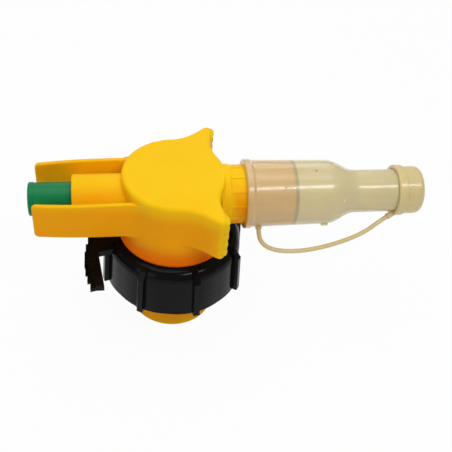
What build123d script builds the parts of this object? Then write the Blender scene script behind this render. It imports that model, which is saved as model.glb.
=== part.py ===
from build123d import *
from math import asin, cos, degrees, pi, radians, sin, sqrt, tan
import os

# Thumb-press canister tap with a push-on pouring spout. Millimetres, +Z up.
# The neck's end face lies on z = 0 round the origin, and the spout points along +X.

# Clearances
slide_gap = 0.3
turn_gap = 0.3
fit_gap = 0.05
seat_gap = 0.1

# Head, up and down from the spout's axis, and the axis above the skirt
axis_rise = 21.9
head_rise = 15.2
head_drop = 8.9

# Body
body_radius = 27.1
skirt_radius = 28.6
skirt_flare = 5.0
skirt_land = 1.0
shell_overlap = 3.0
chamber_radius = 22.6
top_wall = 3.2
head_edge_round = 1.9
head_under_round = 1.0

# Finger ears
ear_tip_x = 18.2
ear_tip_y = 34.3
ear_tip_radius = 2.5
ear_tip_turn = 128.0
ear_root_x = -1.0
ear_sag_along = 0.42
ear_sag_out = 0.2
ear_front_hollow = 1.6
front_reach = 24.25
front_bulge_radius = 28.0
front_bulge_half = 12.4
grip_hollow = 1.0
grip_pitch = 5.25
grip_groove_radius = 1.7
grip_groove_count = 4
grip_top_margin = 2.7
grip_inner_margin = 3.5

# Guard fins beside the button
fin_reach = 69.0
fin_thickness = 2.3
fin_offset = 16.9
fin_tip_offset = 15.1
fin_straight_end = 40.0
fin_top = 10.7
fin_tip_drop = 1.1
fin_bottom = 10.1
fin_corner = 2.2
fin_edge_round = 0.7
fin_blend_radius = 12.0
fin_root_inset = 4.0

# Button's boss and bore
boss_radius = 11.7
boss_reach = 50.9
boss_edge_round = 0.8
boss_root_inset = 3.0
button_radius = 8.1
button_rim_radius = 8.35
button_rim_length = 2.4
button_stand = 20.85
button_depth = 8.15
button_wall = 1.8
button_face = 2.4
button_edge_round = 0.9
button_socket_wall = 1.6
button_socket_length = 6.0
dry_bore_end = 28.6

# Wiper ring in the boss
wiper_section = 0.9
wiper_inset = 4.0
wiper_side_gap = 0.2

# Stem and its sealing
stem_radius = 2.5
gland_radius = 6.0
gland_depth = 3.2
stem_seal_length = 3.0
washer_thickness = 1.0
guide_radius = 4.4
guide_flange_radius = 6.4
guide_flange = 1.4
guide_reach = 6.0

# Return spring
spring_wire = 0.6
spring_radius = 5.4
spring_turns = 9

# Outlet tube
tube_radius = 14.5
tube_bore_radius = 11.6
tube_end = 61.2
tube_edge_cut = 0.6
tube_root_inset = 8.0
collar_radius = 15.4
collar_width = 2.0
collar_edge_round = 0.6
collar_root = 3.0
stop_rib_count = 12
stop_rib_height = 0.35
stop_rib_width = 1.0
stop_rib_turn = 15.0
tube_seal_start = 57.2
tube_seal_groove = 2.6
tube_seal_depth = 1.7
tube_seal_section = 0.88

# Valve in the outlet tube
seat_start = 28.0
seat_width = 2.2
seat_radius = 7.4
valve_seal_thickness = 2.0
valve_seal_radius = 11.0
valve_head_thickness = 3.2
valve_head_radius = 10.7
valve_head_rim = 1.4
valve_head_crown = 0.55
stem_spigot_radius = 1.7
clip_thickness = 0.8
clip_radius = 3.6
stem_tail = 1.2

# Neck and nut
neck_radius = 22.2
neck_bore_radius = 19.8
neck_collar_radius = 25.2
neck_flange_radius = 29.0
neck_flange = 2.8
plug_radius = 22.9
plug_rise = 8.0
neck_seal_inset = 3.3
neck_seal_section = 0.95
neck_seal_squeeze = 0.02
neck_seal_side_gap = 0.25
gasket_thickness = 2.4
neck_spigot_length = 21.5
neck_relief = 0.3

nut_bottom = 24.8
nut_height = 27.4
nut_top_plate = 3.0
nut_flat_radius = 34.3
nut_corner_round = 30.0
nut_taper = 2.8
nut_shoulder_round = 6.5
nut_bore_radius = 31.6
nut_rib_count = 8
nut_rib_turn = -31.0
nut_rib_proud = 2.9
nut_rib_width = 3.2
nut_rib_edge_cut = 0.35
nut_rib_drop = 0.2
nut_rib_slope_start = 5.2
nut_rib_slope_mid = 1.3
nut_rib_slope_end = 0.25
nut_rib_fade = 4.6
nut_rib_root = 1.5

# Toothed tab on the nut, whose outer edge follows an arc
tab_drop = 1.3
tab_thickness = 3.5
tab_step = 1.2
tab_arm_turn = -166.5
tab_arm_width = 10.4
tab_arm_overlap = 2.5
tab_arm_root = 1.0
rack_reach = 46.2
rack_middle = -18.0
rack_radius = 55.0
rack_start = -2.0
rack_tooth_depth = 1.9
rack_tooth_count = 7
rack_tooth_pitch = 5.25
rack_notch = 0.6
rack_wing_length = 8.7
rack_wing_width = 2.7
rack_wing_overlap = 0.5
rack_web_far = 6.7
rack_web_near = 9.6
rack_web_knee = 11.0

# Vent tube, from a port in the valve seat down through the neck
vent_radius = 1.9
vent_bore_radius = 1.2
vent_foot = 5.0
vent_offset = 9.5
vent_turn = 45.0
vent_down_x = 12.0
vent_bend = 6.0
vent_socket = 1.0

# Spout sleeve
sleeve_start = 33.7
sleeve_lip_length = 3.6
sleeve_lip_radius = 17.6
sleeve_radius = 16.95
sleeve_taper_radius = 16.35
sleeve_lip_round = 0.8
sleeve_lip_slope = 1.2
sleeve_bore_gap = 0.15
shoulder_start = 76.0
shoulder_end = 92.5
nozzle_radius = 11.0
nozzle_wall = 1.7
sleeve_step = 62.4
sleeve_step_slope = 1.5
sleeve_wall_growth = 0.5
nub_at = 75.8
nub_radius = 1.8
nub_height = 1.0

# Cap
cap_start = 112.6
cap_end = 126.7
cap_lip_radius = 13.2
cap_lip_length = 4.6
cap_lip_round = 0.7
cap_radius = 12.3
cap_round = 3.0
cap_face = 2.0
cap_gap = 0.25
cap_end_gap = 0.4

# Tether, in a slanting plane through the spout's axis
tether_radius = 1.15
tether_tilt = 45.0
tether_lug_radius = 1.6
tether_lug_sink = 1.6
tether_bend_share = 0.45
tether_route = [
    (41.4, 18.2),
    (41.4, 22.2),
    (43.5, 26.1),
    (48.4, 28.9),
    (56.5, 30.1),
    (67.0, 29.7),
    (79.0, 27.5),
    (90.3, 24.2),
    (99.2, 20.2),
    (104.8, 16.4),
    (109.4, 13.8),
]

# Cuts run this far past the faces that they open
past = 1.0

# Heights that follow from the ones above
nut_top = nut_bottom + nut_height
skirt_bottom = nut_top + turn_gap
axis_height = skirt_bottom + axis_rise
head_top = axis_height + head_rise
head_bottom = axis_height - head_drop
plug_top = skirt_bottom + plug_rise
neck_seal_height = plug_top - neck_seal_inset
flange_top = nut_top - nut_top_plate - turn_gap
gasket_top = flange_top - neck_flange
collar_hole_radius = neck_collar_radius + turn_gap
plug_bore_radius = plug_radius + fit_gap
boss_bore_radius = button_rim_radius + slide_gap
valve_face = seat_start + seat_width + seat_gap
head_back = valve_face + valve_seal_thickness
head_front = head_back + valve_head_thickness
button_reach = boss_reach + button_stand
button_back = -boss_reach + button_depth
button_floor = -button_reach + button_face
sleeve_end = cap_end - cap_face - cap_end_gap


def turned_upright(points):
    """Ring turned about the upright axis from a closed outline of (height, radius) points."""
    corners = [(radius, 0, height) for height, radius in points]
    return revolve(make_face(Polyline(*corners, close=True)), Axis.Z)


def turned_level(points):
    """Ring or cup turned about the spout's axis from a closed outline of (along, radius) points."""
    corners = [(along, 0, radius) for along, radius in points]
    return Pos(0, 0, axis_height) * revolve(make_face(Polyline(*corners, close=True)), Axis.X)


def bar(start, end, radius):
    """Round bar along X between two places on the spout's axis."""
    middle = Location(((start + end) / 2, 0, axis_height), (0, 90, 0))
    return middle * Cylinder(radius, abs(end - start))


def well(bottom, top, radius):
    """Upright round bar between two heights, for cuts from below."""
    return Pos(0, 0, bottom) * Cylinder(radius, top - bottom, align=(Align.CENTER, Align.CENTER, Align.MIN))


def pipe(start, end, radius, bore):
    """Round tube along X between two places on the spout's axis."""
    return turned_level([(start, bore), (start, radius), (end, radius), (end, bore)])


def o_ring(middle_radius, section, at, upright=False):
    """Round rubber ring about the spout's axis, or about the upright axis."""
    if upright:
        return Pos(0, 0, at) * Torus(middle_radius, section)
    return Location((at, 0, axis_height), (0, 90, 0)) * Torus(middle_radius, section)


def tip_point(turn):
    """Place on the rounded tip of the far ear."""
    return (
        ear_tip_x + ear_tip_radius * cos(radians(turn)),
        ear_tip_y + ear_tip_radius * sin(radians(turn)),
    )


def head_outline():
    """Plan of the head: round back, two ears and the bulged front."""
    root = (ear_root_x, sqrt(body_radius**2 - ear_root_x**2))
    back = ThreePointArc((root[0], -root[1]), (-body_radius, 0), root)
    bulge_depth = sqrt(front_bulge_radius**2 - front_bulge_half**2)
    bulge_x = front_reach - front_bulge_radius + bulge_depth
    bulge_near = (bulge_x, -front_bulge_half)
    bulge_far = (bulge_x, front_bulge_half)
    bulge = ThreePointArc(bulge_near, (front_reach, 0), bulge_far)
    tip_rear = tip_point(ear_tip_turn)
    tip_front = tip_point(0)
    sag = (
        (root[0] + tip_rear[0]) * ear_sag_along,
        root[1] + (tip_rear[1] - root[1]) * ear_sag_out,
    )
    tip_tangent = (sin(radians(ear_tip_turn)), -cos(radians(ear_tip_turn)))
    rear = Spline(root, sag, tip_rear, tangents=[(1, 0.05), tip_tangent])
    tip = ThreePointArc(tip_rear, tip_point(ear_tip_turn / 2), tip_front)
    hollow = (tip_front[0] - ear_front_hollow, (front_bulge_half + ear_tip_y) / 2)
    bulge_tangent = (-front_bulge_half / bulge_depth, 1)
    front = Spline(bulge_far, hollow, tip_front, tangents=[bulge_tangent, (0, 1)])
    half = [rear, tip, front]
    other = [mirror(edge, about=Plane.XZ) for edge in half]
    return make_face([back, bulge] + half + other)


def grip_grooves():
    """Level hollows across the front of both ears, leaving the ridges between them."""
    grooves = []
    near = front_bulge_half + grip_inner_margin
    far = ear_tip_y + 2 * ear_tip_radius
    middle_x = ear_tip_x + ear_tip_radius + grip_groove_radius - grip_hollow
    for index in range(grip_groove_count):
        height = head_top - grip_top_margin - index * grip_pitch
        for side in (-1, 1):
            place = Location((middle_x, side * (near + far) / 2, height), (90, 0, 0))
            grooves.append(place * Cylinder(grip_groove_radius, far - near))
    return grooves


def head_block():
    """Flat-topped head with its two ridged finger ears."""
    block = Pos(0, 0, head_bottom) * extrude(head_outline(), head_top - head_bottom)
    block = fillet(block.edges().group_by(Axis.Z)[-1], head_edge_round)
    block = fillet(block.edges().group_by(Axis.Z)[0], head_under_round)
    return block - grip_grooves()


def body_shell():
    """Round body that flares a little to the skirt over the nut."""
    high = head_bottom + shell_overlap
    low = skirt_bottom + skirt_land
    flare_top = skirt_bottom + skirt_flare
    flare_middle = (body_radius + (skirt_radius - body_radius) / 4, 0, (low + flare_top) / 2)
    rim = (skirt_radius, 0, low)
    base = Polyline((0, 0, high), (0, 0, skirt_bottom), (skirt_radius, 0, skirt_bottom), rim)
    flare = ThreePointArc(rim, flare_middle, (body_radius, 0, flare_top))
    wall = Polyline((body_radius, 0, flare_top), (body_radius, 0, high), (0, 0, high))
    return revolve(make_face(base.edges() + flare.edges() + wall.edges()), Axis.Z)


def fin_blend():
    """Plan of the hollow corner between a fin's outer face and the round body."""
    face = fin_offset + fin_thickness / 2
    centre_y = face + fin_blend_radius
    reach = body_radius + fin_blend_radius
    centre_x = -sqrt(reach**2 - centre_y**2)
    on_fin = (centre_x, face)
    on_body = (centre_x * body_radius / reach, centre_y * body_radius / reach)
    middle = ((on_fin[0] + on_body[0]) / 2, (on_fin[1] + on_body[1]) / 2)
    run = sqrt((middle[0] - centre_x) ** 2 + (middle[1] - centre_y) ** 2)
    share = fin_blend_radius / run
    crest = (centre_x + (middle[0] - centre_x) * share, centre_y + (middle[1] - centre_y) * share)
    inside = (on_body[0], fin_offset)
    return make_face(
        [
            ThreePointArc(on_fin, crest, on_body),
            Line(on_body, inside),
            Line(inside, (on_fin[0], fin_offset)),
            Line((on_fin[0], fin_offset), on_fin),
        ]
    )


def guard_fin(side):
    """One of the two upright plates that guard the button."""
    half = fin_thickness / 2
    start = -chamber_radius + fin_root_inset
    edges = []
    ends = []
    for shift in (-half, half):
        straight = Line((start, fin_offset + shift), (-fin_straight_end, fin_offset + shift))
        bow = TangentArc(
            (-fin_straight_end, fin_offset + shift),
            (-fin_reach, fin_tip_offset + shift),
            tangent=(-1, 0),
        )
        edges += [straight, bow]
        ends.append((straight @ 0, bow @ 1))
    edges.append(Line(ends[0][0], ends[1][0]))
    edges.append(Line(ends[0][1], ends[1][1]))
    low = axis_height - fin_bottom
    high = axis_height + fin_top
    plate = Pos(0, 0, low) * extrude(make_face(edges), high - low)
    blend = Pos(0, 0, low) * extrude(fin_blend(), high - low)
    root = start + past
    end = -fin_reach - past
    profile = Polyline((root, high), (end, high - fin_tip_drop), (end, low), (root, low), close=True)
    plate = plate & extrude(Plane.XZ * make_face(profile), 2 * fin_offset, both=True)
    corners = plate.edges().filter_by(Axis.Y).group_by(Axis.X)[0]
    plate = fillet(corners, fin_corner)
    rims = plate.edges().filter_by(Axis.Y, reverse=True).group_by(Axis.X)[:-1]
    plate = fillet([edge for group in rims for edge in group], fin_edge_round)
    if side < 0:
        return [mirror(plate, about=Plane.XZ), mirror(blend, about=Plane.XZ)]
    return [plate, blend]


def stop_ribs():
    """Fine ribs along the outlet tube that stop the sleeve."""
    ribs = []
    length = sleeve_start - seat_gap - front_reach
    height = 2 * stop_rib_height
    for index in range(stop_rib_count):
        turn = stop_rib_turn + index * 360 / stop_rib_count
        rib = Pos(front_reach + length / 2, 0, tube_radius) * Box(length, stop_rib_width, height)
        ribs.append(Pos(0, 0, axis_height) * Rot(turn, 0, 0) * rib)
    return ribs


def tap_body():
    """The yellow moulding: head, ears, fins, boss, outlet tube and valve seat."""
    body = body_shell() + head_block() + guard_fin(1) + guard_fin(-1)
    boss = bar(-boss_reach, -chamber_radius + boss_root_inset, boss_radius)
    boss = fillet(boss.edges().sort_by(Axis.X)[0], boss_edge_round)
    tube = bar(chamber_radius - tube_root_inset, tube_end, tube_radius)
    tube = chamfer(tube.edges().sort_by(Axis.X)[-1], tube_edge_cut)
    collar = bar(front_reach - collar_root, front_reach + collar_width, collar_radius)
    collar = fillet(collar.edges().sort_by(Axis.X)[-1], collar_edge_round)
    body = body + boss + tube + collar + stop_ribs()
    seat_end = seat_start + seat_width
    body -= well(skirt_bottom, plug_top + seat_gap, plug_bore_radius)
    body -= well(skirt_bottom, head_top - top_wall, chamber_radius)
    body -= bar(chamber_radius - tube_root_inset, seat_start, tube_bore_radius)
    body -= bar(seat_start - past, seat_end + past, seat_radius)
    body -= bar(seat_end, tube_end + past, tube_bore_radius)
    seal_end = tube_seal_start + tube_seal_groove
    body -= pipe(tube_seal_start, seal_end, tube_radius + past, tube_radius - tube_seal_depth)
    vent_place = Pos(0, vent_offset * sin(radians(vent_turn)), vent_offset * cos(radians(vent_turn)))
    body -= vent_place * bar(seat_start - past, seat_end + past, vent_bore_radius)
    body -= vent_place * bar(seat_start - past, seat_start + vent_socket, vent_radius + fit_gap)
    body -= bar(-boss_reach - past, -dry_bore_end, boss_bore_radius)
    body -= bar(-dry_bore_end - past, -dry_bore_end + gland_depth, gland_radius + fit_gap)
    body -= bar(-dry_bore_end, -chamber_radius + guide_reach, guide_radius + fit_gap)
    wiper_at = -boss_reach + wiper_inset
    groove_half = wiper_section + wiper_side_gap
    groove_depth = button_radius + 2 * wiper_section + 2 * fit_gap
    body -= pipe(wiper_at - groove_half, wiper_at + groove_half, groove_depth, boss_bore_radius - past)
    return body


def inlet_neck():
    """Tube that stands in the canister's mouth, with its flange and its plug."""
    outline = [
        (0, neck_bore_radius),
        (0, neck_radius),
        (neck_spigot_length, neck_radius),
        (neck_spigot_length, neck_radius - neck_relief),
        (gasket_top, neck_radius - neck_relief),
        (gasket_top, neck_flange_radius),
        (flange_top, neck_flange_radius),
        (flange_top, neck_collar_radius),
        (skirt_bottom - seat_gap, neck_collar_radius),
        (skirt_bottom - seat_gap, plug_radius),
        (plug_top, plug_radius),
        (plug_top, neck_bore_radius),
    ]
    neck = turned_upright(outline)
    groove_floor = plug_radius - 2 * neck_seal_section - fit_gap
    groove_half = neck_seal_section + neck_seal_side_gap
    groove = [
        (neck_seal_height - groove_half, groove_floor),
        (neck_seal_height - groove_half, plug_radius + past),
        (neck_seal_height + groove_half, plug_radius + past),
        (neck_seal_height + groove_half, groove_floor),
    ]
    return neck - turned_upright(groove)


def neck_seal():
    """Round ring in the plug's groove."""
    middle = plug_radius + fit_gap - neck_seal_section - neck_seal_squeeze
    return o_ring(middle, neck_seal_section, neck_seal_height, upright=True)


def neck_gasket():
    """Flat ring under the flange, which the canister's mouth presses on."""
    outline = [
        (gasket_top - gasket_thickness, neck_radius + seat_gap),
        (gasket_top - gasket_thickness, neck_flange_radius),
        (gasket_top, neck_flange_radius),
        (gasket_top, neck_radius + seat_gap),
    ]
    return turned_upright(outline)


def nut_wall(height):
    """Distance of the nut's flats from its axis at a height."""
    return nut_flat_radius + (nut_top - height) * tan(radians(nut_taper))


def nut_rib(turn):
    """Upright grip rib that follows the wall and fades out over the nut's shoulder."""
    root = nut_flat_radius - nut_rib_root
    fade = nut_flat_radius - nut_rib_fade
    low = nut_bottom - nut_rib_drop
    slope = nut_top - nut_rib_slope_start
    side = Polyline(
        (root, 0, low),
        (nut_wall(low) + nut_rib_proud, 0, low),
        (nut_wall(slope) + nut_rib_proud, 0, slope),
        (nut_flat_radius, 0, nut_top - nut_rib_slope_mid),
        (fade, 0, nut_top - nut_rib_slope_end),
        (fade, 0, nut_top - nut_rib_slope_start),
        (root, 0, slope - nut_rib_slope_start),
        close=True,
    )
    rib = extrude(make_face(side), nut_rib_width / 2, dir=(0, 1, 0), both=True)
    long_edges = rib.edges().sort_by(lambda edge: edge.center().X)[-2:]
    rib = chamfer(long_edges, nut_rib_edge_cut)
    return Rot(0, 0, turn) * rib


def rack_point(radius, angle):
    """Place on an arc along the toothed edge."""
    return (
        rack_radius - rack_reach - radius * cos(radians(angle)),
        rack_middle + radius * sin(radians(angle)),
    )


def rack_angle(index):
    """Angle of the upper end of a tooth, counted from the smooth wing."""
    start = degrees(asin((rack_start - rack_middle) / rack_radius))
    return start - degrees(index * rack_tooth_pitch / rack_radius)


def rack_tooth(index):
    """Plan of one tooth, whose outer face is square to the spout."""
    upper = rack_angle(index)
    lower = rack_angle(index + 1)
    face = rack_point(rack_radius, (upper + lower) / 2)[0]
    root = rack_radius - rack_tooth_depth
    top = rack_point(rack_radius, upper)[1] - rack_notch
    foot = rack_point(rack_radius, lower)[1]
    corners = [
        rack_point(root - past, upper),
        (rack_point(root, upper)[0], top),
        (face, top),
        (face, foot),
        (max(rack_point(root, lower)[0], face + rack_notch), foot + rack_notch),
        rack_point(root - past, lower),
    ]
    return make_face(Polyline(*corners, close=True))


def rack_web():
    """Plan of the flat web behind the teeth."""
    root = rack_radius - rack_tooth_depth
    first = rack_angle(0)
    last = rack_angle(rack_tooth_count)
    start = rack_point(root, first)
    end = rack_point(root, last)
    far = -rack_reach + rack_web_far
    near = -rack_reach + rack_web_near
    knee = rack_start - rack_web_knee
    corners = [end, (near, end[1]), (far, knee), (far, start[1]), start]
    arc = ThreePointArc(start, rack_point(root, (first + last) / 2), end)
    return make_face([arc] + Polyline(*corners).edges())


def rack_wing():
    """Plan of the smooth curved strip beyond the last tooth."""
    start = rack_angle(0) - rack_wing_overlap
    end = rack_angle(0) + degrees(rack_wing_length / rack_radius)
    inner = rack_radius - rack_wing_width
    middle = (start + end) / 2
    outer_arc = ThreePointArc(
        rack_point(rack_radius, start), rack_point(rack_radius, middle), rack_point(rack_radius, end)
    )
    inner_arc = ThreePointArc(rack_point(inner, end), rack_point(inner, middle), rack_point(inner, start))
    ends = [
        Line(rack_point(rack_radius, end), rack_point(inner, end)),
        Line(rack_point(inner, start), rack_point(rack_radius, start)),
    ]
    return make_face([outer_arc, inner_arc] + ends)


def toothed_tab():
    """Arm and toothed grip that stand out from the nut's shoulder."""
    low = nut_top - tab_drop - tab_thickness
    grip = extrude(rack_web(), tab_thickness) + extrude(rack_wing(), tab_thickness)
    for index in range(rack_tooth_count):
        grip += extrude(rack_tooth(index), tab_thickness - tab_step)
    inner = nut_flat_radius - tab_arm_root
    outer = rack_reach - rack_web_far + tab_arm_overlap
    arm = Pos((inner + outer) / 2, 0, tab_thickness / 2) * Box(outer - inner, tab_arm_width, tab_thickness)
    return Pos(0, 0, low) * (grip + Rot(0, 0, tab_arm_turn) * arm)


def screw_nut():
    """Black nut with flattened panels, grip ribs and the toothed tab."""
    plan = RegularPolygon(nut_flat_radius, nut_rib_count, major_radius=False, rotation=nut_rib_turn)
    plan = fillet(plan.vertices(), nut_corner_round)
    nut = Pos(0, 0, nut_top) * extrude(plan, nut_height, dir=(0, 0, -1), taper=-nut_taper)
    nut = fillet(nut.edges().group_by(Axis.Z)[-1], nut_shoulder_round)
    for index in range(nut_rib_count):
        nut += nut_rib(nut_rib_turn + index * 360 / nut_rib_count)
    nut += toothed_tab()
    nut -= well(nut_bottom - nut_rib_drop, nut_top - nut_top_plate, nut_bore_radius)
    nut -= well(nut_bottom, nut_top + past, collar_hole_radius)
    return nut


def push_button():
    """Green cup that the thumb pushes, open towards the spring."""
    inside = button_radius - button_wall
    outline = [
        (-button_reach, 0),
        (-button_reach, button_rim_radius),
        (-button_reach + button_rim_length, button_rim_radius),
        (-button_reach + button_rim_length, button_radius),
        (button_back, button_radius),
        (button_back, inside),
        (button_floor, inside),
        (button_floor, 0),
    ]
    cup = turned_level(outline)
    circles = cup.edges().filter_by(GeomType.CIRCLE)
    cup = fillet(circles.group_by(Axis.X)[0], button_edge_round)
    socket_start = button_floor - button_face / 4
    cup += bar(socket_start, button_floor + button_socket_length, stem_radius + button_socket_wall)
    return cup - bar(button_floor, 0, stem_radius + fit_gap)


def button_wiper():
    """Round ring in the boss that wipes the button."""
    middle = button_radius + fit_gap + wiper_section
    return o_ring(middle, wiper_section, -boss_reach + wiper_inset)


def valve_stem():
    """Rod from the button to the valve, with a thinner end for the valve parts."""
    end = head_front + clip_thickness + stem_tail
    rod = bar(button_floor, valve_face, stem_radius)
    return rod + bar(valve_face - past, end, stem_spigot_radius)


def gland_washer():
    """Flat washer that closes the gland and carries the spring."""
    start = -dry_bore_end - washer_thickness
    return pipe(start, -dry_bore_end, boss_bore_radius - seat_gap, stem_radius + slide_gap)


def stem_seal():
    """Rubber ring round the stem in the gland."""
    start = -dry_bore_end + seat_gap
    return pipe(start, start + stem_seal_length, gland_radius, stem_radius + fit_gap)


def stem_guide():
    """Flanged bush that carries the stem, pushed in from the chamber."""
    wall = -dry_bore_end + gland_depth
    face = -sqrt(chamber_radius**2 - guide_flange_radius**2) + seat_gap
    bush = pipe(wall + seat_gap, face + guide_reach, guide_radius, stem_radius + fit_gap)
    return bush + pipe(face, face + guide_flange, guide_flange_radius, stem_radius + fit_gap)


def return_spring():
    """Coil between the gland washer and the closed end of the button."""
    start = button_floor + spring_wire + seat_gap
    end = -dry_bore_end - washer_thickness - spring_wire - seat_gap
    height = end - start
    path = Helix(height / spring_turns, height, spring_radius)
    section = Plane(origin=path @ 0, z_dir=path % 0) * Circle(spring_wire)
    coil = sweep(section, path)
    return Location((start, 0, axis_height), (0, 90, 0)) * coil


def valve_seal():
    """Flat rubber disc that closes on the seat."""
    return pipe(valve_face, head_back, valve_seal_radius, stem_spigot_radius + fit_gap)


def valve_head():
    """Stiff disc behind the rubber, domed towards the outlet."""
    outline = [
        (head_back, stem_spigot_radius + fit_gap),
        (head_back, valve_head_radius),
        (head_back + valve_head_rim, valve_head_radius),
        (head_front, valve_head_radius * valve_head_crown),
        (head_front, stem_spigot_radius + fit_gap),
    ]
    return turned_level(outline)


def head_clip():
    """Spring washer that holds the valve parts on the stem."""
    return pipe(head_front, head_front + clip_thickness, clip_radius, stem_spigot_radius + fit_gap)


def vent_tube():
    """Bent tube that lets air from the valve seat into the canister."""
    side = vent_offset * sin(radians(vent_turn))
    height = axis_height + vent_offset * cos(radians(vent_turn))
    route = FilletPolyline(
        (seat_start + vent_socket - seat_gap, side, height),
        (vent_down_x, side, height),
        (vent_down_x, side, vent_foot),
        radius=vent_bend,
    )
    start = Plane(origin=route @ 0, z_dir=route % 0)
    ring = start * (Circle(vent_radius) - Circle(vent_bore_radius))
    return sweep(ring, route)


def outlet_seal():
    """Dark ring near the end of the outlet tube, under the sleeve."""
    middle = tube_radius - tube_seal_depth + tube_seal_section + fit_gap
    return o_ring(middle, tube_seal_section, tube_seal_start + tube_seal_groove / 2)


def tether_point(station):
    """Place of a tether point, given along the spout and out from its axis."""
    along, out = station
    tilt = radians(tether_tilt)
    return Vector(along, -out * sin(tilt), axis_height - out * cos(tilt))


def tether_lug(start, end):
    """Short round stub on a moulding, where the tether grows out of it."""
    run = end - start
    stub = Cylinder(tether_lug_radius, run.length, align=(Align.CENTER, Align.CENTER, Align.MIN))
    return Plane(origin=start, z_dir=run) * stub


def sleeve_outline():
    """Half section of the sleeve, from its lip to the end of the nozzle."""
    bore = tube_radius + sleeve_bore_gap
    throat = nozzle_radius - nozzle_wall
    lip_end = sleeve_start + sleeve_lip_length
    lip_half = sleeve_lip_slope / 2
    inner_shoulder = sleeve_taper_radius - nozzle_wall - sleeve_wall_growth
    corner = (sleeve_start + sleeve_lip_round, sleeve_lip_radius - sleeve_lip_round)
    lip_arc = ThreePointArc(
        (sleeve_start, corner[1]),
        (corner[0] - sleeve_lip_round * cos(pi / 4), corner[1] + sleeve_lip_round * sin(pi / 4)),
        (corner[0], sleeve_lip_radius),
    )
    outer = Polyline(
        (corner[0], sleeve_lip_radius),
        (lip_end - lip_half, sleeve_lip_radius),
        (lip_end + lip_half, sleeve_radius),
        (shoulder_start, sleeve_taper_radius),
    )
    shoulder = Spline(
        (shoulder_start, sleeve_taper_radius),
        ((shoulder_start + shoulder_end) / 2, (sleeve_taper_radius + nozzle_radius) / 2),
        (shoulder_end, nozzle_radius),
        tangents=[(1, -0.03), (1, 0)],
    )
    inner = Polyline(
        (shoulder_end, nozzle_radius),
        (sleeve_end, nozzle_radius),
        (sleeve_end, throat),
        (shoulder_end, throat),
        (shoulder_start, inner_shoulder),
        (sleeve_step + sleeve_step_slope, inner_shoulder),
        (sleeve_step, bore),
        (sleeve_start, bore),
        (sleeve_start, corner[1]),
    )
    return make_face([lip_arc, shoulder] + outer.edges() + inner.edges())


def spout_sleeve():
    """Translucent sleeve with its shoulder, its nozzle and a moulding nub underneath."""
    sleeve = Pos(0, 0, axis_height) * revolve(Plane.XZ * sleeve_outline(), Axis.X)
    along = tether_route[0][0]
    foot = tether_point((along, sleeve_radius - tether_lug_sink / 2))
    stub = tether_lug(foot, tether_point(tether_route[0]))
    base = tether_point((nub_at, sleeve_taper_radius - nub_height))
    crest = tether_point((nub_at, sleeve_taper_radius + nub_height))
    nub = Cylinder(nub_radius, 2 * nub_height, align=(Align.CENTER, Align.CENTER, Align.MIN))
    return sleeve + stub + Plane(origin=base, z_dir=crest - base) * nub


def spout_cap():
    """Cup-shaped cap with a thicker lip."""
    bore = nozzle_radius + cap_gap
    lip_end = cap_start + cap_lip_length
    outline = [
        (cap_start, bore),
        (cap_start, cap_lip_radius),
        (lip_end, cap_lip_radius),
        (lip_end, cap_radius),
        (cap_end, cap_radius),
        (cap_end, 0),
        (cap_end - cap_face, 0),
        (cap_end - cap_face, bore),
    ]
    cap = turned_level(outline)
    circles = cap.edges().filter_by(GeomType.CIRCLE)
    cap = fillet(circles.group_by(Axis.X)[-1], cap_round)
    circles = cap.edges().filter_by(GeomType.CIRCLE)
    lip = circles.sort_by(lambda edge: abs(edge.radius - cap_lip_radius))[:2]
    cap = fillet(lip, cap_lip_round)
    last = tether_point(tether_route[-1])
    before = tether_point(tether_route[-2])
    length = cap_start - tether_route[-1][0] + tether_lug_sink
    cap += tether_lug(last, last + (last - before).normalized() * length)
    return cap - bar(tether_route[-1][0] - 2 * past, lip_end, bore)


def cap_tether():
    """Thin strap from the sleeve's stub to the cap's stub."""
    points = [tether_point(station) for station in tether_route]
    radii = []
    for before, corner, after in zip(points, points[1:], points[2:]):
        first = corner - before
        second = after - corner
        turn = radians(first.get_angle(second))
        shorter = min(first.length, second.length)
        radii.append(tether_bend_share * shorter / tan(turn / 2))
    print("tether radii", [round(radius, 1) for radius in radii])
    path = FilletPolyline(*points, radius=radii)
    section = Plane(origin=path @ 0, z_dir=path % 0) * Circle(tether_radius)
    strap = sweep(section, path)
    full = path.length * pi * tether_radius**2
    print("tether length", round(path.length, 1), "volume share", round(strap.volume / full, 3))
    return strap


makers = [
    tap_body,
    inlet_neck,
    neck_seal,
    neck_gasket,
    screw_nut,
    push_button,
    button_wiper,
    valve_stem,
    gland_washer,
    stem_seal,
    stem_guide,
    return_spring,
    valve_seal,
    valve_head,
    head_clip,
    vent_tube,
    outlet_seal,
    spout_sleeve,
    spout_cap,
    cap_tether,
]

os.makedirs("parts", exist_ok=True)
for maker in makers:
    export_step(maker(), "parts/" + maker.__name__ + ".step")
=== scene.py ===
from collections import namedtuple
from math import cos, pi, radians, sin

import bpy
from mathutils import Matrix, Vector


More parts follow.
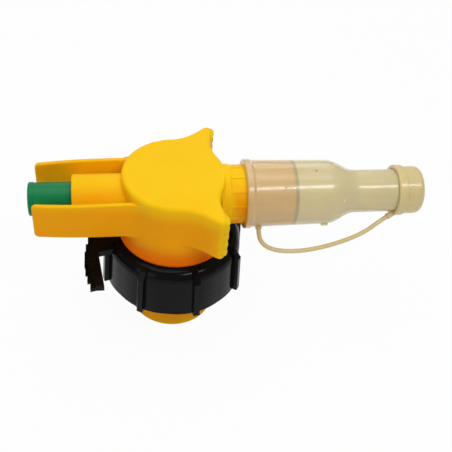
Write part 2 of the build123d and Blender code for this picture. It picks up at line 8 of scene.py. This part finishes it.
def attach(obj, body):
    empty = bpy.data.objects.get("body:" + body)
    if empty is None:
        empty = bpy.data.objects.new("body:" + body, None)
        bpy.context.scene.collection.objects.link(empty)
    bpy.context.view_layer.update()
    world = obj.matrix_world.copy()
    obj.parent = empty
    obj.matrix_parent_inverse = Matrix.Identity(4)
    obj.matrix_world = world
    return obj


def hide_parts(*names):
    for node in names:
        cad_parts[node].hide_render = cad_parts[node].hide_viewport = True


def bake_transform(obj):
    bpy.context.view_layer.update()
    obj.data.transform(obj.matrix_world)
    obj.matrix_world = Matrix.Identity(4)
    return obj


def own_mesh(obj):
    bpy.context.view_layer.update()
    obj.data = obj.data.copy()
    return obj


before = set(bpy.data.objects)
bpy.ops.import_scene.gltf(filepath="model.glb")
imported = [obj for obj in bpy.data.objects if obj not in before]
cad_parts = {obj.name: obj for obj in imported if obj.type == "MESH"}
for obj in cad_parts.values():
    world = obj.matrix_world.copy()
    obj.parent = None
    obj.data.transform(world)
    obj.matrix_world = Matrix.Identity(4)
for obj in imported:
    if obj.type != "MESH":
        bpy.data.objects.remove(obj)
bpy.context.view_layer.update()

# Lengths are in millimetres, apart from the lights' and the floor's
MM = 0.001

# Height of the axis that the spout, the spring and the button share
AXIS_HEIGHT = 74.4

# Tether, in a slanting plane: its route along the spout and out from the axis
TETHER_TILT = radians(45)
TETHER_DIAMETER = 2.3
TETHER_ROUTE = [
    (41.4, 18.2),
    (41.4, 22.2),
    (43.5, 26.1),
    (48.4, 28.9),
    (56.5, 30.1),
    (67.0, 29.7),
    (79.0, 27.5),
    (90.3, 24.2),
    (99.2, 20.2),
    (104.8, 16.4),
    (109.4, 13.8),
]

# Return spring, whose far end is pushed in by the button
SPRING_START = -68.65
SPRING_END = -30.3
SPRING_RADIUS = 5.4
SPRING_WIRE = 0.6
SPRING_TURNS = 9
SPRING_TURN_STEPS = 30
SPRING_SIDES = 10

# Thread inside the nut: its crest and root are radii, and their halves run along the axis
THREAD_BOTTOM = 28.0
THREAD_PITCH = 5.0
THREAD_TURNS = 2.8
THREAD_TURN_STEPS = 72
THREAD_CREST = 30.5
THREAD_ROOT = 31.75
THREAD_CREST_HALF = 0.5
THREAD_ROOT_HALF = 1.5
THREAD_RUN_OUT_STEPS = 9
THREAD_END_HEIGHT = 0.15

# Ears of the head, and the level grooves across their fronts
HEAD_TOP = 89.6
HEAD_BOTTOM = 65.5
EAR_TIP_X = 18.2
EAR_TIP_Y = 34.3
EAR_TIP_RADIUS = 2.5
EAR_HOLLOW = 1.6
EAR_HOLLOW_REACH = 10.95
GROOVE_TOP = 86.9
GROOVE_PITCH = 5.25
GROOVE_COUNT = 4

# Ridges between the grooves: height over the ear, depth under it, and how they wrap, fade and meet
RIDGE_PROUD = 1.25
RIDGE_ROOT = 1.0
RIDGE_WRAP = radians(70)
RIDGE_WRAP_SHARE = 0.4
RIDGE_HOLLOW_SHARE = 0.8
RIDGE_SINK = 0.3
RIDGE_RISE_RATE = 4
RIDGE_FALL_RATE = 2.5
RIDGE_EDGE = 0.9
RIDGE_OVERLAP = 0.575
RIDGE_STEPS = 30
RIDGE_SIDES = 20

# Mark that the mould's gate left on the sleeve
GATE_ALONG = 53.8
GATE_LEAN = radians(41)
GATE_DISTANCE = 16.55
GATE_RADIUS = 1.3
GATE_RELIEF = 0.28
GATE_STEPS = 24
GATE_SIDES = 8

# The photograph's view
IMAGE_SIZE = 452
VIEW_TURN = radians(-11.6)
VIEW_ELEVATION = radians(43.7)
VIEW_ROLL = radians(6.3)
FOCAL_PIXELS = 765
SENSOR = 36.0
CAMERA_PLACE = Vector((-31.35, -284.65, 329.65)) * MM

# Darker and lighter tone of each material
HEAD_YELLOW = (0.965, 0.555, 0.006), (0.985, 0.590, 0.008)
# Painted shade: a deeper tone on the yellow's flanks, which get less light than the head's top
FLANK_PAINTED_SHADE = (0.93, 0.36, 0.003), (0.96, 0.40, 0.005)
# Painted shade: a reddish tone on the yellow just above the nut, where the nut keeps light off
SKIRT_PAINTED_SHADE = (0.78, 0.10, 0.001), (0.84, 0.13, 0.002)
# Painted glow: a lighter tone in the yellow's hollow corners, standing in for light bounced through the
# plastic
HOLLOW_PAINTED_GLOW = (0.99, 0.57, 0.002), (1.0, 0.63, 0.003)
BUTTON_GREEN = (0.003, 0.180, 0.056), (0.006, 0.220, 0.074)
NUT_BLACK = (0.002, 0.0019, 0.002), (0.004, 0.0038, 0.004)
SLEEVE_CREAM = (0.94, 0.79, 0.45), (0.97, 0.83, 0.50)
CAP_CREAM = (0.73, 0.58, 0.27), (0.79, 0.64, 0.32)
VALVE_WHITE = (0.70, 0.69, 0.65), (0.80, 0.79, 0.76)
SEAL_BLACK = (0.012, 0.012, 0.012), (0.022, 0.022, 0.022)
GASKET_GREY = (0.10, 0.10, 0.10), (0.15, 0.15, 0.15)
WIRE_GREY = (0.45, 0.45, 0.46), (0.62, 0.62, 0.63)
FLOOR_WHITE = (0.82, 0.82, 0.82), (0.86, 0.86, 0.86)
TONE_PLACES = 0.3, 0.7

# Where the yellow's painted shade changes, each pair from none to full: heights, then places along the spout
FLANK_SHADE_HEIGHTS = 79.0, 88.5
ABOVE_SKIRT = 50.0, 66.0
BELOW_SKIRT = 40.0, 30.0
# Painted light: near the ear tips the flanks keep the head's yellow, standing in for light through the thin
# ears
EAR_TIP_LIGHT = 12.5, 21.5
BEHIND_TUBE = 30.0, 26.0

# Hollow corners, where a glow is painted: how far they are felt, and the share of open sky from none of the
# painted glow to all of it
HOLLOW_REACH = 12.0
HOLLOW_OPENNESS = 0.75, 0.25

# Noise: its roughness, and how many times finer the gloss varies than the colour
NOISE_ROUGHNESS = 0.55
GLOSS_FINENESS = 6

# Level sink marks on the nut: their stretch, waves per metre and depth
SINK_STRETCH = (0.2, 0.2, 2.5)
SINK_WAVES = 260
SINK_DEPTH = 0.12

# Painted on the sleeve for what shows through it: the tube's warm glow, and the seal's shade line with the
# width that it blurs over
TUBE_PAINTED_GLOW = (1.0, 0.84, 0.70)
SEAL_PAINTED_SHADE = (0.66, 0.72, 0.78)
SEAL_BLUR = 1.6

# Dark specks in the cream plastic: spread in cells per metre, and the share of a cell that each takes
SPECK_CELLS = 60
SPECK_BROWN = (0.42, 0.30, 0.16)
SPECK_EDGE = 0.018, 0.04

# Studio, in metres and watts: name, place, target, width, depth and power of each light
FLOOR_SIZE = 6
FLOOR_DROP = 0.0003
FLOOR_GLOW = 0.95
AMBIENT = 0.36
LIGHTS = [
    ("overhead", (-0.05, 0.12, 0.75), (0.03, 0, 0.05), 0.6, 0.6, 2.05),
    ("front_strip", (0.27, -0.40, 0.73), (0.06, 0, 0.07), 0.45, 0.09, 1.7),
    ("left_fill", (-0.6, -0.55, 0.42), (0.0, 0, 0.07), 0.5, 0.5, 1.0),
    ("back_fill", (0.1, 0.65, 0.45), (0.0, 0, 0.07), 0.5, 0.4, 0.8),
]

# Places of the colour mix node's inputs and output
MIX_FACTOR, MIX_FIRST, MIX_SECOND = 0, 6, 7
MIX_RESULT = 2

Finish = namedtuple("Finish", "material tree shader coords colour")


def material(name):
    """New node material with its tree, its shader and the object's own coordinates."""
    made = bpy.data.materials.new(name)
    made.use_nodes = True
    tree = made.node_tree
    coords = tree.nodes.new("ShaderNodeTexCoord").outputs["Object"]
    return made, tree, tree.nodes["Principled BSDF"], coords


def feed(tree, value, socket):
    """Links another node's output to an input, or sets the input to a constant."""
    if isinstance(value, bpy.types.NodeSocket):
        tree.links.new(value, socket)
    else:
        socket.default_value = value


def adjust(shader, **values):
    """Sets a shader's inputs, named with underscores for spaces."""
    for name, value in values.items():
        shader.inputs[name.replace("_", " ")].default_value = value


def noise(tree, coords, scale, detail=3.0):
    """Noise factor at a scale in waves per metre."""
    node = tree.nodes.new("ShaderNodeTexNoise")
    node.inputs["Scale"].default_value = scale
    node.inputs["Detail"].default_value = detail
    node.inputs["Roughness"].default_value = NOISE_ROUGHNESS
    tree.links.new(coords, node.inputs["Vector"])
    return node.outputs["Fac"]


def ramp(tree, factor, places, colours):
    """Colour ramp with a colour at each of two places."""
    node = tree.nodes.new("ShaderNodeValToRGB")
    for element, place, colour in zip(node.color_ramp.elements, places, colours):
        element.position = place
        element.color = (*colour, 1)
    tree.links.new(factor, node.inputs["Fac"])
    return node.outputs["Color"]


def smooth(tree, value, start, end):
    """Factor that eases from 0 to 1 as a value goes from a start to an end."""
    node = tree.nodes.new("ShaderNodeMapRange")
    node.interpolation_type = "SMOOTHSTEP"
    node.inputs["From Min"].default_value = start
    node.inputs["From Max"].default_value = end
    tree.links.new(value, node.inputs["Value"])
    return node.outputs["Result"]


def place_factor(tree, coords, start, end, axis="Z"):
    """Factor that eases from 0 to 1 between two places along an axis."""
    split = tree.nodes.new("ShaderNodeSeparateXYZ")
    tree.links.new(coords, split.inputs[0])
    return smooth(tree, split.outputs[axis], start * MM, end * MM)


def spread(tree, factor, low, high):
    """Maps a factor from 0 to 1 onto a range."""
    node = tree.nodes.new("ShaderNodeMapRange")
    node.inputs["To Min"].default_value = low
    node.inputs["To Max"].default_value = high
    tree.links.new(factor, node.inputs["Value"])
    return node.outputs["Result"]


def worked_out(tree, operation, first, second):
    """Result of an operation on two factors."""
    node = tree.nodes.new("ShaderNodeMath")
    node.operation = operation
    feed(tree, first, node.inputs[0])
    feed(tree, second, node.inputs[1])
    return node.outputs[0]


def mixed(tree, factor, first, second, blend="MIX"):
    """Blend of two colours by a factor."""
    node = tree.nodes.new("ShaderNodeMix")
    node.data_type = "RGBA"
    node.blend_type = blend
    feed(tree, factor, node.inputs[MIX_FACTOR])
    feed(tree, first, node.inputs[MIX_FIRST])
    feed(tree, second, node.inputs[MIX_SECOND])
    return node.outputs[MIX_RESULT]


def painted_glow_corners(tree):
    """Factor that is 1 in the object's hollow corners and 0 on open faces, where a glow is painted."""
    shade = tree.nodes.new("ShaderNodeAmbientOcclusion")
    shade.samples = 8
    shade.inputs["Distance"].default_value = HOLLOW_REACH * MM
    return smooth(tree, shade.outputs["AO"], *HOLLOW_OPENNESS)


def bump(tree, shader, factor, relief):
    """Fine relief of a height in millimetres."""
    node = tree.nodes.new("ShaderNodeBump")
    node.inputs["Strength"].default_value = 1.0
    node.inputs["Distance"].default_value = relief * MM
    tree.links.new(factor, node.inputs["Height"])
    tree.links.new(node.outputs["Normal"], shader.inputs["Normal"])


def moulded(name, tones, gloss, patch=28, grain=900, relief=0.02):
    """Faint patches of two tones, a roughness that wanders over a range and, with a relief, a fine grain."""
    made, tree, shader, coords = material(name)
    colour = ramp(tree, noise(tree, coords, patch), TONE_PLACES, tones)
    tree.links.new(colour, shader.inputs["Base Color"])
    roughness = spread(tree, noise(tree, coords, patch * GLOSS_FINENESS, 5.0), *gloss)
    tree.links.new(roughness, shader.inputs["Roughness"])
    if relief:
        bump(tree, shader, noise(tree, coords, grain), relief)
    return Finish(made, tree, shader, coords, colour)


def yellow_plastic():
    """Warm yellow polyethylene, with painted shade on its flanks and a deeper painted shade just above the
    nut, its yellow kept as painted light at the ear tips, and a painted glow in its hollow corners.
    """
    finish = moulded("yellow_plastic", HEAD_YELLOW, (0.32, 0.44))
    tree, coords = finish.tree, finish.coords
    cloud = noise(tree, coords, 34)
    flank_shade = ramp(tree, cloud, TONE_PLACES, FLANK_PAINTED_SHADE)
    skirt_shade = ramp(tree, cloud, TONE_PLACES, SKIRT_PAINTED_SHADE)
    glow = ramp(tree, cloud, TONE_PLACES, HOLLOW_PAINTED_GLOW)
    # Painted light: the ear tips keep the head's yellow
    ears = worked_out(
        tree,
        "MULTIPLY",
        place_factor(tree, coords, *EAR_TIP_LIGHT, "X"),
        place_factor(tree, coords, *BEHIND_TUBE, "X"),
    )
    pale = worked_out(tree, "MAXIMUM", place_factor(tree, coords, *FLANK_SHADE_HEIGHTS), ears)
    # Painted shade on the flanks below the head
    flank = mixed(tree, pale, flank_shade, finish.colour)
    # Painted shade above the nut
    above = place_factor(tree, coords, *ABOVE_SKIRT)
    below = place_factor(tree, coords, *BELOW_SKIRT)
    skirt = mixed(tree, worked_out(tree, "MAXIMUM", above, below), skirt_shade, flank)
    # Painted glow in the hollow corners
    tree.links.new(mixed(tree, painted_glow_corners(tree), skirt, glow), finish.shader.inputs["Base Color"])
    adjust(
        finish.shader,
        Subsurface_Weight=0.3,
        Subsurface_Radius=(1.0, 0.35, 0.05),
        Subsurface_Scale=3 * MM,
        Specular_IOR_Level=0.04,
    )
    return finish.material


def green_plastic():
    """Mid green plastic of the push button."""
    finish = moulded("green_plastic", BUTTON_GREEN, (0.20, 0.30))
    adjust(
        finish.shader,
        Subsurface_Weight=0.1,
        Subsurface_Radius=(0.2, 1.0, 0.4),
        Subsurface_Scale=MM,
        Specular_IOR_Level=0.16,
    )
    return finish.material


def black_plastic():
    """Black polypropylene with a soft shine and faint level sink marks."""
    finish = moulded("black_plastic", NUT_BLACK, (0.10, 0.18), patch=40, relief=0)
    level = finish.tree.nodes.new("ShaderNodeMapping")
    level.inputs["Scale"].default_value = SINK_STRETCH
    finish.tree.links.new(finish.coords, level.inputs["Vector"])
    marks = noise(finish.tree, level.outputs[0], SINK_WAVES, 2.0)
    bump(finish.tree, finish.shader, marks, SINK_DEPTH)
    adjust(finish.shader, Specular_IOR_Level=0.09)
    return finish.material


def painted_see_through(tree, coords, colour):
    """Painted light on the sleeve around the outlet tube: a warm glow where the tube shows through, and the
    seal's soft grey line as painted shade.
    """
    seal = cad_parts["outlet_seal"]
    middle = sum((seal.matrix_world @ Vector(corner)).x for corner in seal.bound_box) / 8 / MM
    before, after = middle - SEAL_BLUR, middle + SEAL_BLUR
    tube = place_factor(tree, coords, after, before, "X")
    # Painted light: a warm glow over the tube and a grey shade line over the seal, as if seen through the
    # sleeve
    warm = mixed(tree, tube, colour, (*TUBE_PAINTED_GLOW, 1), "MULTIPLY")
    rising = place_factor(tree, coords, before, middle, "X")
    falling = place_factor(tree, coords, after, middle, "X")
    line = worked_out(tree, "MULTIPLY", rising, falling)
    return mixed(tree, line, warm, (*SEAL_PAINTED_SHADE, 1), "MULTIPLY")


def cream_plastic(name, tones, gloss, clear, over_tube=False):
    """Milky soft plastic that lets some light through, with a few dark specks and, over the tube, a painted
    glow and a painted seal shade.
    """
    finish = moulded(name, tones, gloss, patch=30, grain=700, relief=0.03)
    tree = finish.tree
    cells = tree.nodes.new("ShaderNodeTexVoronoi")
    cells.inputs["Scale"].default_value = SPECK_CELLS
    tree.links.new(finish.coords, cells.inputs["Vector"])
    specks = ramp(tree, cells.outputs["Distance"], SPECK_EDGE, (SPECK_BROWN, (1, 1, 1)))
    colour = mixed(tree, 1.0, finish.colour, specks, "MULTIPLY")
    if over_tube:
        colour = painted_see_through(tree, finish.coords, colour)
    tree.links.new(colour, finish.shader.inputs["Base Color"])
    adjust(
        finish.shader,
        Transmission_Weight=clear,
        IOR=1.45,
        Coat_Weight=0.35,
        Coat_Roughness=0.11,
        Subsurface_Weight=0.5,
        Subsurface_Radius=(1.0, 0.8, 0.5),
        Subsurface_Scale=2 * MM,
    )
    return finish.material


def spring_steel():
    """Drawn steel wire with a fine grain."""
    finish = moulded("spring_steel", WIRE_GREY, (0.22, 0.38), patch=200, grain=2500, relief=0.01)
    adjust(finish.shader, Metallic=1.0)
    return finish.material


def dress():
    """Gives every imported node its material, and returns the materials by node."""
    yellow = yellow_plastic()
    white = moulded("white_plastic", VALVE_WHITE, (0.40, 0.55)).material
    rubber = moulded("black_rubber", SEAL_BLACK, (0.6, 0.8), grain=1800).material
    steel = spring_steel()
    chosen = {
        "tap_body": yellow,
        "inlet_neck": yellow,
        "neck_seal": rubber,
        "neck_gasket": moulded("grey_rubber", GASKET_GREY, (0.6, 0.8), grain=1800).material,
        "button_wiper": rubber,
        "gland_washer": white,
        "stem_seal": rubber,
        "stem_guide": white,
        "return_spring": steel,
        "vent_tube": white,
        "outlet_seal": rubber,
        "spout_sleeve": cream_plastic("cream_plastic", SLEEVE_CREAM, (0.20, 0.30), 0.38, over_tube=True),
        "push_button": green_plastic(),
        "valve_stem": white,
        "valve_seal": rubber,
        "valve_head": white,
        "head_clip": steel,
        "screw_nut": black_plastic(),
        "spout_cap": cream_plastic("cap_plastic", CAP_CREAM, (0.28, 0.38), 0.10),
    }
    for node, made in chosen.items():
        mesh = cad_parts[node].data
        mesh.materials.clear()
        mesh.materials.append(made)
    return chosen


def placed(name, data):
    """New object in the scene."""
    made = bpy.data.objects.new(name, data)
    bpy.context.collection.objects.link(made)
    return made


def oval(middle, across, upright, width, height, count):
    """Ring of points on an oval about a place, in metres."""
    ring = []
    for part in range(count):
        angle = 2 * pi * part / count
        ring.append((middle + width * cos(angle) * across + height * sin(angle) * upright) * MM)
    return ring


def swept(name, rings, made):
    """Mesh skin over a row of rings with the same number of points, capped at both ends."""
    count = len(rings[0])
    vertices = [tuple(point) for ring in rings for point in ring]
    faces = []
    for row in range(len(rings) - 1):
        for side in range(count):
            following = (side + 1) % count
            base = row * count
            faces.append((base + side, base + following, base + count + following, base + count + side))
    last = (len(rings) - 1) * count
    faces.append(tuple(reversed(range(count))))
    faces.append(tuple(range(last, last + count)))
    mesh = bpy.data.meshes.new(name)
    mesh.from_pydata(vertices, [], faces)
    mesh.materials.append(made)
    return placed(name, mesh)


def coil(made):
    """Return spring as a round wire."""
    steps = SPRING_TURNS * SPRING_TURN_STEPS
    length = SPRING_END - SPRING_START
    advance = Vector((length / (2 * pi * SPRING_TURNS), 0, 0))
    rings = []
    for step in range(steps + 1):
        turn = 2 * pi * SPRING_TURNS * step / steps
        outward = Vector((0, cos(turn), sin(turn)))
        along = advance + SPRING_RADIUS * Vector((0, -sin(turn), cos(turn)))
        sideways = along.normalized().cross(outward)
        middle = Vector((SPRING_START + length * step / steps, 0, AXIS_HEIGHT)) + SPRING_RADIUS * outward
        rings.append(oval(middle, outward, sideways, SPRING_WIRE, SPRING_WIRE, SPRING_SIDES))
    piece = swept("spring_wire", rings, made)
    piece.data.shade_smooth()
    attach(piece, "tap")
    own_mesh(piece)
    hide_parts("return_spring")


def thread(made):
    """Ridge of the nut's thread, which runs out into the bore at both ends."""
    steps = int(THREAD_TURNS * THREAD_TURN_STEPS)
    rings = []
    for step in range(steps + 1):
        turn = 2 * pi * THREAD_TURNS * step / steps
        height = THREAD_BOTTOM + THREAD_PITCH * THREAD_TURNS * step / steps
        run_out = min(step, steps - step) / THREAD_RUN_OUT_STEPS
        rise = min(1.0, THREAD_END_HEIGHT + (1 - THREAD_END_HEIGHT) * run_out)
        crest = THREAD_ROOT - (THREAD_ROOT - THREAD_CREST) * rise
        profile = [
            (THREAD_ROOT, -THREAD_ROOT_HALF),
            (crest, -THREAD_CREST_HALF),
            (crest, THREAD_CREST_HALF),
            (THREAD_ROOT, THREAD_ROOT_HALF),
        ]
        rings.append([Vector((r * cos(turn), r * sin(turn), height + shift)) * MM for r, shift in profile])
    piece = swept("nut_thread_ridge", rings, made)
    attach(piece, "nut")


def ear_ridge(name, side, height, half, made):
    """Level rounded ridge that wraps an ear's tip and fades out along its hollow front."""
    rings = []
    for step in range(RIDGE_STEPS + 1):
        share = step / RIDGE_STEPS
        wrap = RIDGE_WRAP * max(0.0, 1 - share / RIDGE_WRAP_SHARE)
        past_tip = max(0.0, (share - RIDGE_WRAP_SHARE) / (1 - RIDGE_WRAP_SHARE))
        inward = RIDGE_HOLLOW_SHARE * EAR_HOLLOW_REACH * past_tip
        outward = Vector((cos(wrap), side * sin(wrap), 0))
        place = Vector((EAR_TIP_X, side * (EAR_TIP_Y - inward), height)) + EAR_TIP_RADIUS * outward
        place.x -= EAR_HOLLOW * (1 - cos(pi * inward / EAR_HOLLOW_REACH)) / 2
        fade = min(1.0, RIDGE_RISE_RATE * share, RIDGE_FALL_RATE * (1 - share))
        reach = RIDGE_ROOT + (RIDGE_PROUD + RIDGE_SINK) * fade - RIDGE_SINK
        root = place - RIDGE_ROOT * outward
        rings.append(oval(root, outward, Vector((0, 0, side)), reach, half, RIDGE_SIDES))
    piece = swept(name, rings, made)
    piece.data.shade_smooth()
    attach(piece, "tap")


def grip(made):
    """Ridges above, between and below the grooves of both ears."""
    for index in range(GROOVE_COUNT + 1):
        lower = max(GROOVE_TOP - index * GROOVE_PITCH, HEAD_BOTTOM + RIDGE_EDGE)
        upper = min(GROOVE_TOP - (index - 1) * GROOVE_PITCH, HEAD_TOP - RIDGE_EDGE)
        for side, ear in ((-1, "near"), (1, "far")):
            height = (lower + upper) / 2
            ear_ridge(f"{ear}_ear_ridge_{index + 1}", side, height, RIDGE_OVERLAP * (upper - lower), made)


def gate_mark(made):
    """Small raised ring that the mould's gate left on the sleeve."""
    out = Vector((0, -sin(GATE_LEAN), cos(GATE_LEAN)))
    side = Vector((0, cos(GATE_LEAN), sin(GATE_LEAN)))
    centre = Vector((GATE_ALONG, 0, AXIS_HEIGHT)) + GATE_DISTANCE * out
    rings = []
    for step in range(GATE_STEPS + 1):
        turn = 2 * pi * step / GATE_STEPS
        outward = cos(turn) * Vector((1, 0, 0)) + sin(turn) * side
        middle = centre + GATE_RADIUS * outward
        rings.append(oval(middle, outward, out, GATE_RELIEF, GATE_RELIEF, GATE_SIDES))
    piece = swept("gate_mark", rings, made)
    piece.data.shade_smooth()
    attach(piece, "tap")


def tether_point(station):
    """Place of a tether point, given along the spout and out from its axis."""
    along, out = station
    return Vector((along, -out * sin(TETHER_TILT), AXIS_HEIGHT - out * cos(TETHER_TILT))) * MM


def evaluated_mesh(shape):
    """New mesh with an object's evaluated shape."""
    graph = bpy.context.evaluated_depsgraph_get()
    return bpy.data.meshes.new_from_object(shape.evaluated_get(graph))


def tether(made):
    """The strap from the sleeve to the cap, as one smooth line."""
    points = [tether_point(station) for station in TETHER_ROUTE]
    curve = bpy.data.curves.new("tether_line", "CURVE")
    curve.dimensions = "3D"
    spline = curve.splines.new("NURBS")
    spline.points.add(len(points) - 1)
    for control, point in zip(spline.points, points):
        control.co = (*point, 1)
    spline.order_u = 3
    spline.use_endpoint_u = True
    spline.resolution_u = 12
    line = placed("tether_line", curve)
    path = [tuple(vertex.co) for vertex in evaluated_mesh(line).vertices]
    curve.bevel_depth = TETHER_DIAMETER / 2 * MM
    curve.bevel_resolution = 5
    curve.use_fill_caps = True
    bpy.context.view_layer.update()
    strap = placed("tether", evaluated_mesh(line))
    bpy.data.objects.remove(line)
    strap.data.materials.clear()
    strap.data.materials.append(made)
    strap.data.shade_smooth()
    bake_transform(strap)
    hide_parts("cap_tether")


def camera():
    """Camera at the photograph's angle and distance."""
    flat = cos(VIEW_ELEVATION)
    forward = Vector((-sin(VIEW_TURN) * flat, cos(VIEW_TURN) * flat, -sin(VIEW_ELEVATION)))
    level = Vector((cos(VIEW_TURN), sin(VIEW_TURN), 0))
    upward = level.cross(forward)
    right = cos(VIEW_ROLL) * level + sin(VIEW_ROLL) * upward
    up = cos(VIEW_ROLL) * upward - sin(VIEW_ROLL) * level
    data = bpy.data.cameras.new("camera")
    data.sensor_width = SENSOR
    data.lens = SENSOR * FOCAL_PIXELS / IMAGE_SIZE
    data.clip_start = 10 * MM
    eye = placed("camera", data)
    turn = Matrix((right, up, -forward)).transposed()
    eye.matrix_world = Matrix.Translation(CAMERA_PLACE) @ turn.to_4x4()
    bpy.context.scene.camera = eye


def area_light(name, place, target, width, depth, power):
    """Soft light panel that faces a target."""
    data = bpy.data.lights.new(name, "AREA")
    data.shape = "RECTANGLE"
    data.size = width
    data.size_y = depth
    data.energy = power
    lamp = placed(name, data)
    lamp.location = place
    lamp.rotation_euler = (Vector(target) - Vector(place)).to_track_quat("-Z", "Y").to_euler()


def join(tree, factor, first, second, output):
    """Blends two shaders by a factor and shows the result."""
    blend = tree.nodes.new("ShaderNodeMixShader")
    tree.links.new(factor, blend.inputs[0])
    tree.links.new(first.outputs[0], blend.inputs[1])
    tree.links.new(second.outputs[0], blend.inputs[2])
    tree.links.new(blend.outputs[0], output.inputs["Surface"])


def pale_floor():
    """Floor that looks white and keeps the object's shadow."""
    bpy.ops.mesh.primitive_plane_add(size=FLOOR_SIZE, location=(0, 0, -FLOOR_DROP))
    floor = bpy.context.object
    floor.name = "floor"
    made, tree, shader, coords = material("pale_floor")
    mottle = ramp(tree, noise(tree, coords, 6, 4.0), TONE_PLACES, FLOOR_WHITE)
    tree.links.new(mottle, shader.inputs["Base Color"])
    adjust(shader, Roughness=0.9)
    rays = tree.nodes.new("ShaderNodeLightPath").outputs
    seen = worked_out(tree, "MAXIMUM", rays["Is Camera Ray"], rays["Is Glossy Ray"])
    seen = worked_out(tree, "MAXIMUM", seen, rays["Is Transmission Ray"])
    share = worked_out(tree, "MULTIPLY", seen, FLOOR_GLOW)
    white = tree.nodes.new("ShaderNodeEmission")
    join(tree, share, shader, white, tree.nodes["Material Output"])
    floor.data.materials.append(made)


def white_world():
    """Surroundings that look white and give a soft, weaker light."""
    world = bpy.data.worlds.new("studio")
    bpy.context.scene.world = world
    world.use_nodes = True
    tree = world.node_tree
    soft = tree.nodes["Background"]
    adjust(soft, Color=(1, 1, 1, 1), Strength=AMBIENT)
    white = tree.nodes.new("ShaderNodeBackground")
    adjust(white, Color=(1, 1, 1, 1), Strength=1.0)
    seen = tree.nodes.new("ShaderNodeLightPath").outputs["Is Camera Ray"]
    join(tree, seen, soft, white, tree.nodes["World Output"])


camera()
finishes = dress()
tether(finishes["spout_cap"])
coil(finishes["return_spring"])
thread(finishes["screw_nut"])
grip(finishes["tap_body"])
gate_mark(finishes["spout_cap"])
pale_floor()
white_world()
for light in LIGHTS:
    area_light(*light)
bpy.context.scene.view_settings.view_transform = "Standard"
